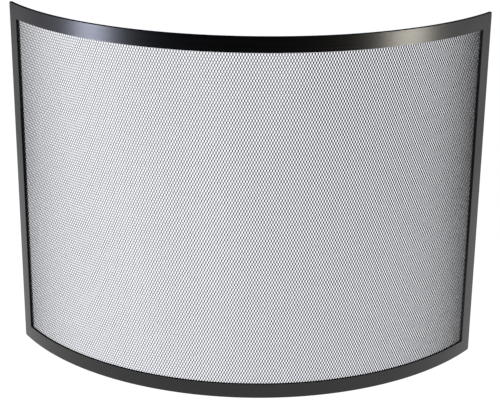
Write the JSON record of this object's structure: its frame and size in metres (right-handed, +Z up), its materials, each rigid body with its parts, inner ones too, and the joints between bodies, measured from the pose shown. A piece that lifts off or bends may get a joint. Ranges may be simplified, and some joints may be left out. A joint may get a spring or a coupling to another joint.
{
  "type": "fireplace screen",
  "caption": "Bow-front fireplace spark guard: a curved flat-bar steel frame with a fine expanded-metal panel clamped behind it, free-standing on its bottom rail.",
  "frame": {"origin": "on the floor, at the middle of the footprint's bounding box", "axes": "+X along the width, to the right of someone in the room facing the screen; +Y from the room towards the hearth, so the middle of the bow faces -Y; +Z up"},
  "size_m": [0.5994, 0.1617, 0.46],
  "materials": {
    "frame_bar": "satin black baked paint with faint lengthwise rolling lines",
    "mesh": "semi-gloss black paint on expanded metal",
    "retaining_strip": "satin black baked paint",
    "screw": "black oxide"
  },
  "bodies": {
    "root": {"top_rail": "frame_bar", "bottom_rail": "frame_bar", "left_stile": "frame_bar", "right_stile": "frame_bar", "mesh_panel": "mesh", "top_retaining_strip": "retaining_strip", "bottom_retaining_strip": "retaining_strip", "left_retaining_strip": "retaining_strip", "right_retaining_strip": "retaining_strip", "top_screws": "screw", "bottom_screws": "screw", "left_screws": "screw", "right_screws": "screw"}
  },
  "joints": []
}
